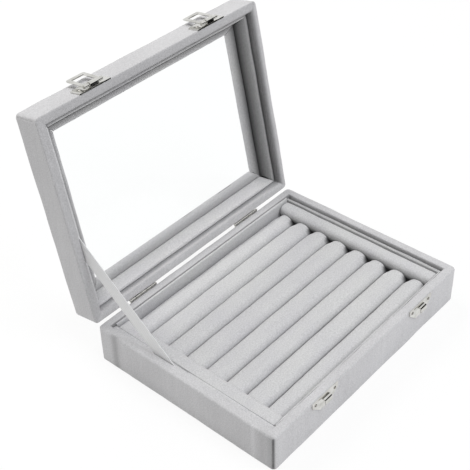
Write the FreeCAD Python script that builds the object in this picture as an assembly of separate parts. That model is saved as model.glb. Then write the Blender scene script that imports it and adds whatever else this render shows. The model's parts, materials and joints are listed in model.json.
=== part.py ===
import FreeCAD, Part
import math
import os

from FreeCAD import Vector

# Millimetres. Origin under the middle of the base, X along the hinges, +Y to the back, +Z up.
# The lid is drawn closed and then turned open about the hinge line, as the box stands at rest.

# Overall sizes
WIDTH = 200.0
DEPTH = 150.0
HEIGHT = 50.0
PARTING_Z = 29.0
PARTING_GAP = 0.3
LID_OPEN_DEG = 101.0

# Wrapped walls
WALL = 6.5
VELVET = 0.8
CORNER_R = 3.0
EDGE_R = 1.8
RIM_LAP = 9.0
BOARD_BEVEL = 1.4
BOTTOM_SHEET = 0.8
BOTTOM_BOARD = 3.0

# Tray filling
FLOOR_PAD = 2.5
RIBBON_SLIT = 0.8
SIDE_LINER = 2.8
END_LINER = 1.5
END_LINER_DROP = 0.5
LINER_DROP = 2.0
LINER_TOP_R = 0.8
BOLSTER_WIDTH = 10.4
BOLSTER_DROP = 2.4
BOLSTER_IN_R = 7.0
BOLSTER_OUT_R = 2.4
BOLSTER_END_R = 4.0
ROLL_COUNT = 8
ROLL_GAP = 0.15
ROLL_END_GAP = 0.3
ROLL_END_R = 3.5
ROLL_END_STEPS = 2

# Lid window
WINDOW_HALF_X = 83.0
WINDOW_HALF_Y = 58.0
TOP_BOARD = 1.8
PANE = 1.2
LID_LINER_DROP = 4.0
LID_LINER_WIDTH = 6.7
LID_LINER_CREST = 2.6
STRIP_HEIGHT = 4.9
STRIP_OVERLAP = 3.4
STRIP_EDGE = 0.4
STRIP_SWELL = 0.45
PLAY = 0.1

# Hinges
HINGE_SPREAD = 107.6
HINGE_SHIFT = -3.0
HINGE_WIDTH = 25.0
HINGE_LEAF = 9.0
HINGE_BEVEL = 1.1
HINGE_KNUCKLES = 5
HINGE_OUT = 0.6
KNUCKLE_R = 0.95
KNUCKLE_GAP = 0.2
HINGE_PIN_R = 0.45
RUNNING_FIT = 0.05

# Latches
LATCH_SPREAD = 105.4
LATCH_SHIFT = 1.1
PLATE = 0.8
PLATE_REACH = 12.8
PLATE_NOSE = 4.8
PLATE_HEIGHT = 10.4
HASP_PLATE_LOW = 29.4
HASP_PLATE_END = 9.2
HASP_BRAD_X = 9.0
HASP_BRAD_Z = 33.9
HASP_AXIS_Z = 31.2
HASP_AXIS_OUT = 2.6
HASP_LIFT_DEG = 3.5
HASP_BARREL_R = 1.7
HASP_BARREL_WIDTH = 6.4
HASP_EYE_R = 1.2
HASP_PIN_R = 0.6
HASP_SHEET = 0.7
HASP_WIDTH = 15.0
HASP_LENGTH = 17.4
HASP_LIP = 1.6
HASP_LIP_DEG = 35.0
HASP_CORNER_R = 1.5
SLOT_WIDTH = 9.6
SLOT_NEAR = 3.4
SLOT_FAR = 14.6
CATCH_PLATE_TOP = 28.6
CATCH_PLATE_END = 3.6
CATCH_BRAD_X = 9.6
CATCH_BRAD_Z = 26.0
HOOK_WIDTH = 6.6
HOOK_BEND_Z = 25.4
HOOK_BEND_R = 1.4
HOOK_LEG_LOW = 24.0
HOOK_FLARE = 0.9
HOOK_FLARE_DEG = 20.0

# Brads
BRAD_HEAD_R = 1.1
BRAD_HEAD = 0.5
BRAD_R = 0.5
BRAD_SHANK = 5.0
BRAD_SIDES = 6
BRAD_HEAD_SIDES = 8
BRAD_LEAF_X = 8.0
BRAD_LEAF_Z = 6.2

# Ribbon stay
RIBBON_WIDTH = 11.5
RIBBON_THICK = 0.5
RIBBON_TAIL = 14.0
RIBBON_Y = 21.3

# Derived places
HALF_X = WIDTH / 2
HALF_Y = DEPTH / 2
INNER_X = HALF_X - WALL
INNER_Y = HALF_Y - WALL
BOARD_OUT_X = HALF_X - VELVET
BOARD_OUT_Y = HALF_Y - VELVET
BOARD_IN_X = INNER_X + VELVET
BOARD_IN_Y = INNER_Y + VELVET
BASE_TOP = PARTING_Z - PARTING_GAP / 2
LID_BOTTOM = PARTING_Z + PARTING_GAP / 2
BOARDS_LOW = BOTTOM_SHEET + BOTTOM_BOARD
FLOOR_Z = BOARDS_LOW + FLOOR_PAD
LINER_TOP = BASE_TOP - LINER_DROP
LINER_OUT_X = INNER_X - RIBBON_SLIT
LINER_IN_X = LINER_OUT_X - SIDE_LINER
TRAY_Y = INNER_Y - END_LINER
BOLSTER_IN_X = LINER_IN_X - BOLSTER_WIDTH
ROLL_HALF = BOLSTER_IN_X - ROLL_END_GAP
ROLL_PITCH = 2 * TRAY_Y / ROLL_COUNT
ROLL_R = (ROLL_PITCH - ROLL_GAP) / 2
RAIL_Z = HEIGHT - VELVET - TOP_BOARD
PANE_Z = RAIL_Z - PANE
STRIP_LOW = PANE_Z - STRIP_HEIGHT
LID_LINER_Z = LID_BOTTOM + LID_LINER_DROP
LID_LINER_IN_X = LINER_OUT_X - LID_LINER_WIDTH
LID_LINER_IN_Y = INNER_Y - RIBBON_SLIT - LID_LINER_WIDTH
MITRE_X = INNER_X - INNER_Y
HINGE_Y = HALF_Y + HINGE_OUT
HASP_Y = -HALF_Y - HASP_AXIS_OUT
HINGE_X = {"left": HINGE_SHIFT - HINGE_SPREAD / 2, "right": HINGE_SHIFT + HINGE_SPREAD / 2}
LATCH_X = {"left": LATCH_SHIFT - LATCH_SPREAD / 2, "right": LATCH_SHIFT + LATCH_SPREAD / 2}
X_AXIS = Vector(1, 0, 0)
Y_AXIS = Vector(0, 1, 0)
Z_AXIS = Vector(0, 0, 1)
SAME_PLACE = 1e-4


def block(x0, x1, y0, y1, z0, z1):
    """Box between two corners."""
    return Part.makeBox(x1 - x0, y1 - y0, z1 - z0, Vector(x0, y0, z0))


def frame_block(half_x, half_y, z0, z1):
    """Box centred on the Z axis."""
    return block(-half_x, half_x, -half_y, half_y, z0, z1)


def rod(radius, length, middle, axis):
    """Cylinder centred on a point."""
    start = middle - Vector(axis) * (length / 2)
    return Part.makeCylinder(radius, length, start, axis)


def edges_along(shape, axis):
    """Straight edges of a shape that run along an axis."""
    found = []
    for edge in shape.Edges:
        step = edge.Vertexes[-1].Point - edge.Vertexes[0].Point
        if step.Length > 0 and step.normalize().cross(axis).Length < SAME_PLACE:
            found.append(edge)
    return found


def edges_at_height(shape, z):
    """Edges of a shape that lie wholly in one level plane."""
    found = []
    for edge in shape.Edges:
        box = edge.BoundBox
        if max(abs(box.ZMin - z), abs(box.ZMax - z)) < SAME_PLACE:
            found.append(edge)
    return found


def rounded_block(half_x, half_y, z0, z1, radius):
    """Centred box with rounded upright corners."""
    body = frame_block(half_x, half_y, z0, z1)
    return body.makeFillet(radius, edges_along(body, Z_AXIS))


def rounded_plate(x0, x1, y0, y1, z0, z1, radius):
    """Flat plate that faces along Y, with rounded corners."""
    plate = block(x0, x1, y0, y1, z0, z1)
    return plate.makeFillet(radius, edges_along(plate, Y_AXIS))


def joined(shapes):
    """One solid from shapes that meet."""
    return shapes[0].multiFuse(shapes[1:]).removeSplitter()


def mirrored_x(shape):
    """The same shape on the other side of the YZ plane."""
    return shape.mirror(Vector(0, 0, 0), X_AXIS)


def extruded(points, direction):
    """Prism on a closed profile of lines, with an arc wherever a middle and an end point come as a pair."""
    edges = []
    here = points[0]
    for item in points[1:] + [points[0]]:
        if isinstance(item, tuple):
            edges.append(Part.Arc(here, item[0], item[1]).toShape())
            here = item[1]
        else:
            edges.append(Part.LineSegment(here, item).toShape())
            here = item
    return Part.Face(Part.Wire(edges)).extrude(direction)


def arc_corner(before, corner, after, radius):
    """Middle and end of the arc that rounds a square corner, as a profile pair after its first point."""
    into = Vector(before - corner).normalize()
    away = Vector(after - corner).normalize()
    centre = corner + (into + away) * radius
    middle = centre - Vector(into + away).normalize() * radius
    return middle, corner + away * radius


def quarter_round(before, corner, after, radius):
    """Profile items that run up to a square corner and round it."""
    start = corner + Vector(before - corner).normalize() * radius
    return [start, arc_corner(before, corner, after, radius)]


def opened(shape):
    """Turn a lid piece from closed to its rest pose."""
    turned = shape.copy()
    turned.rotate(Vector(0, HINGE_Y, PARTING_Z), X_AXIS, -LID_OPEN_DEG)
    return turned


def bevelled_block(half_x, half_y, z0, z1):
    """Centred box with bevelled upright corners, as boards and sheets are trimmed under the wrap."""
    body = frame_block(half_x, half_y, z0, z1)
    return body.makeChamfer(BOARD_BEVEL, edges_along(body, Z_AXIS))


def wall_ring(z0, z1):
    """Four wall boards as one ring."""
    ring = bevelled_block(BOARD_OUT_X, BOARD_OUT_Y, z0, z1)
    return ring.cut(frame_block(BOARD_IN_X, BOARD_IN_Y, z0, z1))


def split_boards(ring, z0, z1):
    """Front and back boards run through, left and right boards stand between them."""
    outer = HALF_X + WALL
    depth = HALF_Y + WALL
    areas = {
        "front": block(-outer, outer, -depth, -BOARD_IN_Y, z0, z1),
        "back": block(-outer, outer, BOARD_IN_Y, depth, z0, z1),
        "left": block(-outer, -BOARD_IN_X, -BOARD_IN_Y, BOARD_IN_Y, z0, z1),
        "right": block(BOARD_IN_X, outer, -BOARD_IN_Y, BOARD_IN_Y, z0, z1),
    }
    return {side: ring.common(area).Solids[0] for side, area in areas.items()}


def sided_rod(radius, sides, start, way, length):
    """Prism with a regular many-sided section, along a direction in Y."""
    corners = []
    for index in range(sides + 1):
        angle = 2 * math.pi * index / sides
        corners.append(start + Vector(radius * math.cos(angle), 0, radius * math.sin(angle)))
    return Part.Face(Part.makePolygon(corners)).extrude(way * length)


def drilled(shape, brads, radius):
    """Cut the blind holes that brads are driven into."""
    depth = BRAD_HEAD + PLATE + BRAD_SHANK
    for seat, way in brads:
        shape = shape.cut(sided_rod(radius, BRAD_SIDES, seat - way * BRAD_HEAD, way, depth))
    return shape


def brad_place(x, z, face_y):
    """Seat and direction of a brad that goes through a plate on the front or back wall."""
    outward = Vector(0, math.copysign(1, face_y), 0)
    return Vector(x, face_y, z) + outward * PLATE, outward * -1


def brad_solid(seat, way):
    """Nail with a flat head, driven through a plate into the board."""
    head = sided_rod(BRAD_HEAD_R, BRAD_HEAD_SIDES, seat, way * -1, BRAD_HEAD)
    return joined([head, sided_rod(BRAD_R, BRAD_SIDES, seat, way, PLATE + BRAD_SHANK)])


def base_shell(brads):
    """Bottom board, four wall boards, the velvet over them and the sheet underneath."""
    floor = bevelled_block(BOARD_OUT_X, BOARD_OUT_Y, BOTTOM_SHEET, BOARDS_LOW)
    ring = wall_ring(BOARDS_LOW, BASE_TOP - VELVET)
    wrap = rounded_block(HALF_X, HALF_Y, BOTTOM_SHEET, BASE_TOP, CORNER_R)
    wrap = wrap.cut(frame_block(INNER_X, INNER_Y, BOTTOM_SHEET, BASE_TOP))
    wrap = wrap.makeFillet(EDGE_R, edges_at_height(wrap, BASE_TOP))
    wrap = wrap.cut(ring).cut(floor)
    wrap = wrap.cut(frame_block(BOARD_IN_X, BOARD_IN_Y, BOTTOM_SHEET, BASE_TOP - RIM_LAP))
    pieces = {"base_bottom_board": floor, "base_velvet_wrap": drilled(wrap, brads, BRAD_R)}
    for side, board in split_boards(ring, BOTTOM_SHEET, BASE_TOP).items():
        pieces["base_" + side + "_board"] = drilled(board, brads, BRAD_R)
    felt_x = HALF_X - EDGE_R
    felt_y = HALF_Y - EDGE_R
    pieces["base_bottom_felt"] = bevelled_block(felt_x, felt_y, 0, BOTTOM_SHEET)
    return pieces


def padded_bar(x_in, x_out, z0, z1, half_y, in_r, out_r, end_r):
    """Padded strip along Y: rounded over its top and drawn in at both ends."""
    section = [Vector(x_out, -half_y, z0)]
    low_in = Vector(x_in, -half_y, z0)
    top_in = Vector(x_in, -half_y, z1)
    top_out = Vector(x_out, -half_y, z1)
    section += quarter_round(low_in, top_in, top_out, in_r)
    section += quarter_round(top_in, top_out, section[0], out_r)
    section.insert(1, low_in)
    bar = extruded(section, Y_AXIS * (2 * half_y))
    front_low = Vector(x_in, -half_y, z0)
    front_top = Vector(x_in, -half_y, z1)
    back_top = Vector(x_in, half_y, z1)
    back_low = Vector(x_in, half_y, z0)
    side = [front_low] + quarter_round(front_low, front_top, back_top, end_r)
    side += quarter_round(front_top, back_top, back_low, end_r) + [back_low]
    return bar.common(extruded(side, X_AXIS * (x_out - x_in))).Solids[0]


def tray_filling():
    """Padded floor, lining strips and the two bolsters that hold the rolls."""
    pieces = {"base_floor_pad": frame_block(INNER_X, INNER_Y, BOARDS_LOW, FLOOR_Z)}
    lining = (LINER_IN_X, LINER_OUT_X, FLOOR_Z, LINER_TOP, INNER_Y)
    right = padded_bar(*lining, LINER_TOP_R, LINER_TOP_R, LINER_TOP_R)
    pieces["base_liner_right"] = right
    pieces["base_liner_left"] = mirrored_x(right)
    end_top = BASE_TOP - END_LINER_DROP
    pieces["base_liner_back"] = block(-LINER_IN_X, LINER_IN_X, TRAY_Y, INNER_Y, FLOOR_Z, end_top)
    pieces["base_liner_front"] = block(-LINER_IN_X, LINER_IN_X, -INNER_Y, -TRAY_Y, FLOOR_Z, end_top)
    crest = BASE_TOP - BOLSTER_DROP
    outer_x = LINER_IN_X - PLAY
    half_y = TRAY_Y - PLAY
    padding = (BOLSTER_IN_X, outer_x, FLOOR_Z, crest, half_y)
    bolster = padded_bar(*padding, BOLSTER_IN_R, BOLSTER_OUT_R, BOLSTER_END_R)
    pieces["right_bolster"] = bolster
    pieces["left_bolster"] = mirrored_x(bolster)
    return pieces


def roll_profile():
    """Half section of a roll: full along its length, and drawn in over each end in even steps."""
    right = []
    for step in range(ROLL_END_STEPS + 1):
        angle = math.pi / 2 * step / ROLL_END_STEPS
        x = ROLL_HALF - ROLL_END_R * (1 - math.sin(angle))
        right.append(Vector(x, 0, ROLL_R - ROLL_END_R * (1 - math.cos(angle))))
    right.append(Vector(ROLL_HALF, 0, 0))
    left = [Vector(-corner.x, 0, corner.z) for corner in reversed(right)]
    return Part.Face(Part.makePolygon(left + right + left[:1]))


def ring_rolls():
    """Soft rods side by side from the back of the tray to the front, their ends drawn in."""
    pieces = {}
    profile = roll_profile()
    for index in range(ROLL_COUNT):
        y = TRAY_Y - ROLL_PITCH * (index + 0.5)
        roll = profile.revolve(Vector(0, 0, 0), X_AXIS)
        roll.translate(Vector(0, y, FLOOR_Z + ROLL_R))
        pieces["ring_roll_" + str(index + 1)] = roll
    return pieces


def lid_shell(brads):
    """Wall boards, window rails and the velvet over them, closed."""
    ring_top = HEIGHT - VELVET
    ring = wall_ring(LID_BOTTOM + VELVET, ring_top)
    wrap = rounded_block(HALF_X, HALF_Y, LID_BOTTOM, HEIGHT, CORNER_R)
    wrap = wrap.makeFillet(EDGE_R, edges_at_height(wrap, HEIGHT))
    wrap = wrap.cut(frame_block(INNER_X, INNER_Y, LID_BOTTOM, RAIL_Z))
    wrap = wrap.makeFillet(EDGE_R, edges_at_height(wrap, LID_BOTTOM))
    rail_gap_x = WINDOW_HALF_X + VELVET
    rail_gap_y = WINDOW_HALF_Y + VELVET
    rails = frame_block(BOARD_IN_X, BOARD_IN_Y, RAIL_Z, ring_top)
    rails = rails.cut(frame_block(rail_gap_x, rail_gap_y, RAIL_Z, ring_top))
    wrap = wrap.cut(ring).cut(rails)
    wrap = wrap.cut(frame_block(WINDOW_HALF_X, WINDOW_HALF_Y, RAIL_Z, HEIGHT))
    wrap = wrap.cut(frame_block(BOARD_IN_X, BOARD_IN_Y, LID_BOTTOM + RIM_LAP, RAIL_Z))
    pieces = {"lid_velvet_wrap": drilled(wrap, brads, BRAD_R)}
    for side, board in split_boards(ring, LID_BOTTOM, HEIGHT).items():
        pieces["lid_" + side + "_board"] = drilled(board, brads, BRAD_R)
    rail_areas = {
        "front": block(-BOARD_IN_X, BOARD_IN_X, -BOARD_IN_Y, -rail_gap_y, RAIL_Z, ring_top),
        "back": block(-BOARD_IN_X, BOARD_IN_X, rail_gap_y, BOARD_IN_Y, RAIL_Z, ring_top),
        "left": block(-BOARD_IN_X, -rail_gap_x, -rail_gap_y, rail_gap_y, RAIL_Z, ring_top),
        "right": block(rail_gap_x, BOARD_IN_X, -rail_gap_y, rail_gap_y, RAIL_Z, ring_top),
    }
    for side, rail in rail_areas.items():
        pieces["window_rail_" + side] = rail
    return pieces


def lid_liner_section(inner, outer, place):
    """Section of a lid lining strip: a low crest by the wall, then a face that slants to the pane strip."""
    crest = outer - LID_LINER_CREST
    shoulder = LID_LINER_Z + LID_LINER_CREST
    bend = LID_LINER_CREST * math.sqrt(0.5)
    return [
        place(inner, RAIL_Z),
        place(outer, RAIL_Z),
        place(outer, shoulder),
        (place(crest + bend, shoulder - bend), place(crest, LID_LINER_Z)),
        place(inner, STRIP_LOW),
    ]


def mitred_sides(side, back):
    """Right and left pieces from one, back and front pieces from the other, with mitred corners."""
    low = Vector(0, 0, LID_BOTTOM)
    tall = Z_AXIS * HEIGHT
    apex = low + X_AXIS * MITRE_X
    far = X_AXIS * HALF_X
    wide = Y_AXIS * HALF_X
    right_area = extruded([apex, apex + far - wide, apex + far + wide], tall)
    start = apex - X_AXIS * PLAY
    other = low * 2 - start
    back_area = extruded([other, start, start + far + wide, other - far + wide], tall)
    right = side.common(right_area).Solids[0]
    top = back.common(back_area).Solids[0]
    return {
        "right": right,
        "left": mirrored_x(right),
        "back": top,
        "front": top.mirror(Vector(0, 0, 0), Y_AXIS),
    }


def lid_filling():
    """Clear pane, the padded lining of the walls and the padded strips that hold the pane."""
    pane_x = LID_LINER_IN_X - PLAY
    pane_y = LID_LINER_IN_Y - PLAY
    pieces = {"window_pane": frame_block(pane_x, pane_y, PANE_Z, RAIL_Z)}
    outer_y = INNER_Y - RIBBON_SLIT
    section = lid_liner_section(LID_LINER_IN_X, LINER_OUT_X, lambda a, z: Vector(a, -outer_y, z))
    side = extruded(section, Y_AXIS * (2 * outer_y))
    section = lid_liner_section(LID_LINER_IN_Y, outer_y, lambda a, z: Vector(-LINER_OUT_X, a, z))
    across = extruded(section, X_AXIS * (2 * LINER_OUT_X))
    for name, piece in mitred_sides(side, across).items():
        pieces["lid_liner_" + name] = piece
    for name, piece in window_strips(pane_x, pane_y).items():
        pieces["window_strip_" + name] = piece
    return pieces


def strip_section(inner, outer, place):
    """Section of a pane strip: thin at the window, and slanting to the lining with a slight swell."""
    thin = PANE_Z - STRIP_EDGE
    run = outer - inner
    rise = thin - STRIP_LOW
    lift = STRIP_SWELL / math.hypot(run, rise)
    swell = place((inner + outer) / 2 - rise * lift, (thin + STRIP_LOW) / 2 - run * lift)
    return [
        place(inner, PANE_Z),
        place(inner, thin),
        (swell, place(outer, STRIP_LOW)),
        place(outer, PANE_Z),
    ]


def window_strips(pane_x, pane_y):
    """Padded strips on the pane's edge, round the clear view."""
    section = strip_section(WINDOW_HALF_X - STRIP_OVERLAP, pane_x, lambda a, z: Vector(a, -pane_y, z))
    side = extruded(section, Y_AXIS * (2 * pane_y))
    section = strip_section(WINDOW_HALF_Y - STRIP_OVERLAP, pane_y, lambda a, z: Vector(-pane_x, a, z))
    return mitred_sides(side, extruded(section, X_AXIS * (2 * pane_x)))


def hinge_leaf(x, up, own, brads):
    """Stamped leaf on the back wall with its rolled knuckles; up is +1 on the lid and -1 on the base."""
    step = HINGE_WIDTH / HINGE_KNUCKLES
    knuckle = step - KNUCKLE_GAP
    near = PARTING_Z + up * (KNUCKLE_R + 2 * KNUCKLE_GAP)
    far = PARTING_Z + up * (KNUCKLE_R + HINGE_LEAF)
    low, high = sorted((near, far))
    root_low, root_high = sorted((PARTING_Z, near + up * HINGE_BEVEL))
    left = x - HINGE_WIDTH / 2
    face = HALF_Y + PLATE
    sheet = block(left, left + HINGE_WIDTH, HALF_Y, face, low, high)
    leaf = [sheet.makeChamfer(HINGE_BEVEL, edges_along(sheet, Y_AXIS))]
    axis_point = Vector(0, HINGE_Y, PARTING_Z)
    for index in own:
        start = left + index * step + KNUCKLE_GAP / 2
        leaf.append(block(start, start + knuckle, HALF_Y, face, root_low, root_high))
        leaf.append(Part.makeCylinder(KNUCKLE_R, knuckle, axis_point + X_AXIS * start, X_AXIS))
    leaf = joined(leaf)
    leaf = leaf.cut(rod(HINGE_PIN_R + RUNNING_FIT, 2 * HINGE_WIDTH, axis_point + X_AXIS * x, X_AXIS))
    return drilled(leaf, brads, BRAD_R + RUNNING_FIT)


def hinge_brads(x, up):
    """Two brads in one leaf."""
    z = PARTING_Z + up * BRAD_LEAF_Z
    return [brad_place(x + offset, z, HALF_Y) for offset in (-BRAD_LEAF_X, BRAD_LEAF_X)]


def hinge_pin(x):
    """Plain pin through the five knuckles of one hinge."""
    return rod(HINGE_PIN_R, HINGE_WIDTH + 2 * KNUCKLE_GAP, Vector(x, HINGE_Y, PARTING_Z), X_AXIS)


def latch_plate(x, straight_z, end_z, nose_z):
    """Stamped plate on the front wall: straight along the parting line and narrowing away from it."""
    corners = [(PLATE_REACH, straight_z), (PLATE_REACH, end_z), (PLATE_NOSE, nose_z)]
    corners += [(-across, z) for across, z in reversed(corners)]
    outline = [Vector(x + across, -HALF_Y - PLATE, z) for across, z in corners]
    return extruded(outline, Y_AXIS * PLATE)


def ear_brads(x, reach, z):
    """One brad in each end of a latch plate."""
    return [brad_place(x + offset, z, -HALF_Y) for offset in (-reach, reach)]


def catch_hook(x):
    """Tongue that bends out of the catch plate and down over the hasp's bar."""
    left = x - HOOK_WIDTH / 2
    right = x + HOOK_WIDTH / 2
    bend = Vector(x, -HALF_Y - PLATE / 2 - HOOK_BEND_R, HOOK_BEND_Z)
    outer_r = HOOK_BEND_R + PLATE / 2
    inner_r = HOOK_BEND_R - PLATE / 2
    curl = rod(outer_r, HOOK_WIDTH, bend, X_AXIS).cut(rod(inner_r, HOOK_WIDTH, bend, X_AXIS))
    curl = curl.common(block(left, right, bend.y - outer_r, bend.y + outer_r, bend.z, bend.z + outer_r))
    leg = block(left, right, bend.y - outer_r, bend.y - inner_r, HOOK_LEG_LOW, bend.z)
    flare = block(left, right, bend.y - outer_r, bend.y - inner_r, HOOK_LEG_LOW - HOOK_FLARE, HOOK_LEG_LOW)
    flare.rotate(Vector(x, bend.y - inner_r, HOOK_LEG_LOW), X_AXIS, -HOOK_FLARE_DEG)
    return [curl, leg, flare]


def catch_plate(x, brads):
    """Plate on the base's front wall with its hook."""
    top = CATCH_PLATE_TOP
    plate = latch_plate(x, top, top - CATCH_PLATE_END, top - PLATE_HEIGHT)
    return drilled(joined([plate] + catch_hook(x)), brads, BRAD_R + RUNNING_FIT)


def hasp_bore(x):
    """Hole for the hasp's pin."""
    return rod(HASP_PIN_R + RUNNING_FIT, 2 * HASP_WIDTH, Vector(x, HASP_Y, HASP_AXIS_Z), X_AXIS)


def hasp_plate(x, brads):
    """Plate on the lid's front wall with a tongue that is rolled round the hasp's pin."""
    half = HASP_BARREL_WIDTH / 2
    low = HASP_AXIS_Z - HASP_BARREL_R
    edge = HASP_PLATE_LOW
    pieces = [
        latch_plate(x, edge, edge + HASP_PLATE_END, edge + PLATE_HEIGHT),
        rod(HASP_BARREL_R, HASP_BARREL_WIDTH, Vector(x, HASP_Y, HASP_AXIS_Z), X_AXIS),
        block(x - half, x + half, HASP_Y, -HALF_Y, low, low + PLATE),
    ]
    return drilled(joined(pieces).cut(hasp_bore(x)), brads, BRAD_R + RUNNING_FIT)


def hasp_pin(x):
    """Pin that the hasp turns on."""
    return rod(HASP_PIN_R, HASP_WIDTH + KNUCKLE_GAP, Vector(x, HASP_Y, HASP_AXIS_Z), X_AXIS)


def hasp(x):
    """Slotted hasp with two eyes on the pin and a thumb lip, folded back over the closed lid."""
    back = HASP_Y + HASP_SHEET / 2
    front = HASP_Y - HASP_SHEET / 2
    half = HASP_WIDTH / 2
    top = HASP_AXIS_Z - HASP_BARREL_R - 2 * KNUCKLE_GAP
    low = HASP_AXIS_Z - HASP_LENGTH
    sheet = rounded_plate(x - half, x + half, front, back, low, top, HASP_CORNER_R)
    lip_half = half - HASP_CORNER_R
    lip = block(x - lip_half, x + lip_half, front, back, low - HASP_LIP, low)
    lip.rotate(Vector(x, back, low), X_AXIS, -HASP_LIP_DEG)
    pieces = [sheet, lip]
    eye_in = HASP_BARREL_WIDTH / 2 + KNUCKLE_GAP
    eye = half - eye_in
    for start in (x - half, x + eye_in):
        pieces.append(Part.makeCylinder(HASP_EYE_R, eye, Vector(start, HASP_Y, HASP_AXIS_Z), X_AXIS))
        pieces.append(block(start, start + eye, front, back, top - HASP_CORNER_R, HASP_AXIS_Z))
    slot_low = HASP_AXIS_Z - SLOT_FAR
    slot_top = HASP_AXIS_Z - SLOT_NEAR
    slot_half = SLOT_WIDTH / 2
    slot = block(x - slot_half, x + slot_half, front, back, slot_low, slot_top)
    body = joined(pieces).cut(slot).cut(hasp_bore(x))
    body.rotate(Vector(x, HASP_Y, HASP_AXIS_Z), X_AXIS, HASP_LIFT_DEG - 180)
    return body


def hardware():
    """Hinges and latches, with the brads that hold them, sorted by the wall that carries them."""
    base = {}
    lid = {}
    brads = {"hinge_base": [], "catch": [], "hinge_lid": [], "hasp": []}
    base_knuckles = range(0, HINGE_KNUCKLES, 2)
    lid_knuckles = range(1, HINGE_KNUCKLES, 2)
    for side in ("left", "right"):
        x = HINGE_X[side]
        low_brads = hinge_brads(x, -1)
        high_brads = hinge_brads(x, 1)
        base[side + "_hinge_base_leaf"] = hinge_leaf(x, -1, base_knuckles, low_brads)
        base[side + "_hinge_pin"] = hinge_pin(x)
        lid[side + "_hinge_lid_leaf"] = hinge_leaf(x, 1, lid_knuckles, high_brads)
        brads["hinge_base"] += low_brads
        brads["hinge_lid"] += high_brads
        x = LATCH_X[side]
        catch_brads = ear_brads(x, CATCH_BRAD_X, CATCH_BRAD_Z)
        hasp_brads = ear_brads(x, HASP_BRAD_X, HASP_BRAD_Z)
        base[side + "_catch_plate"] = catch_plate(x, catch_brads)
        lid[side + "_hasp_plate"] = hasp_plate(x, hasp_brads)
        lid[side + "_hasp_pin"] = hasp_pin(x)
        lid[side + "_hasp"] = hasp(x)
        brads["catch"] += catch_brads
        brads["hasp"] += hasp_brads
    for name in ("hinge_base", "catch"):
        base[name + "_brads"] = Part.makeCompound([brad_solid(*place) for place in brads[name]])
    for name in ("hinge_lid", "hasp"):
        lid[name + "_brads"] = Part.makeCompound([brad_solid(*place) for place in brads[name]])
    return base, lid, brads


def ribbon_stay():
    """Ribbon drawn straight by the open lid, its tails tucked behind the left linings."""
    low = Vector(0, RIBBON_Y, PARTING_Z)
    high = opened(Part.Vertex(low)).Point
    length = (high - low).Length + 2 * RIBBON_TAIL
    slope = math.degrees(math.atan2(high.z - low.z, high.y - low.y))
    x = -INNER_X + (RIBBON_SLIT - RIBBON_THICK) / 2
    start = low + Vector(x, -RIBBON_TAIL, -RIBBON_WIDTH / 2)
    ribbon = Part.makeBox(RIBBON_THICK, length, RIBBON_WIDTH, start)
    ribbon.rotate(low, X_AXIS, slope)
    return ribbon


def main():
    """Build every piece and write one file for each."""
    os.makedirs("parts", exist_ok=True)
    base_metal, lid_metal, brads = hardware()
    pieces = base_shell(brads["hinge_base"] + brads["catch"])
    pieces.update(tray_filling())
    pieces.update(ring_rolls())
    pieces.update(base_metal)
    closed_lid = lid_shell(brads["hinge_lid"] + brads["hasp"])
    closed_lid.update(lid_filling())
    closed_lid.update(lid_metal)
    for name, shape in closed_lid.items():
        pieces[name] = opened(shape)
    pieces["lid_stay_ribbon"] = ribbon_stay()
    for name, shape in pieces.items():
        state = "valid" if shape.isValid() else "not valid"
        print(name, state, len(shape.Solids), "solids", round(shape.Volume, 1), "mm3")
        shape.exportStep(os.path.join("parts", name + ".step"))


main()
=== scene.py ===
"""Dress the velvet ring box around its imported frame.

Lengths are metres in the frame's own axes: +X along the hinge line, -Y to the latches, +Z up. Pieces of the lid are
drawn closed, where their sizes are plain, and are then turned open with the lid, as the box stands at rest.
"""
import json
import logging
import math
from dataclasses import dataclass, field
from enum import Enum
from typing import Sequence

import bpy
import numpy as np
from mathutils import Matrix, Vector


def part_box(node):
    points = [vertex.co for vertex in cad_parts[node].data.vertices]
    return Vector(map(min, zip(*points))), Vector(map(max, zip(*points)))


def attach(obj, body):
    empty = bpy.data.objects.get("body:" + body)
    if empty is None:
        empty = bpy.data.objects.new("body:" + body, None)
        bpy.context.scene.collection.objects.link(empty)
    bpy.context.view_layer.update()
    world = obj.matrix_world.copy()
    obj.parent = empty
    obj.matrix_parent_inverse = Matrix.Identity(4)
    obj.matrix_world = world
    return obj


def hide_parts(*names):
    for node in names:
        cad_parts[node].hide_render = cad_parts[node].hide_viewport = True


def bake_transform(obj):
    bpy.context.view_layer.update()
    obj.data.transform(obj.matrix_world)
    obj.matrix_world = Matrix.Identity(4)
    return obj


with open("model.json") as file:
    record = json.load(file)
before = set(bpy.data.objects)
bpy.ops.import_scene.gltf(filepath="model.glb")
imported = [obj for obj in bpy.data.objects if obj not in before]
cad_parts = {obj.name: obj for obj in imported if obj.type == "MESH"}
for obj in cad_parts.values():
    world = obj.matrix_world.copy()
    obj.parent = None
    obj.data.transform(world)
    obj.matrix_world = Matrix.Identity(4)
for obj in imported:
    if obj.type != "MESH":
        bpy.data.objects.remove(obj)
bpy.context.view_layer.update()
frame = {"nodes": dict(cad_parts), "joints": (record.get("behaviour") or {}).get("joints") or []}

LOG = logging.getLogger("ring_box")
MM = 0.001
# Per-point painted shade of the velvet pieces: a factor on the colour, below 1 where shade falls in grooves, gaps and
# recesses or on faces turned from the lamps, above 1 in a few painted highlights.
PAINTED_SHADE = "painted_shade"
Colour = tuple[float, float, float]
Face = tuple[int, ...]


class Body(Enum):
    """Bodies of the frame that pieces ride on."""

    BASE = "base"
    LID = "lid"


class Slot(Enum):
    """Material slots of the record."""

    VELVET = "velvet"
    PADDED = "padded_velvet"
    FELT = "felt"
    RIBBON = "ribbon"
    NICKEL = "nickel"


class Side(Enum):
    """Left and right of the box, as the sign of X."""

    LEFT = -1
    RIGHT = 1

    @property
    def word(self) -> str:
        """Side in lower case, as node names have it."""
        return self.name.lower()


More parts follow.
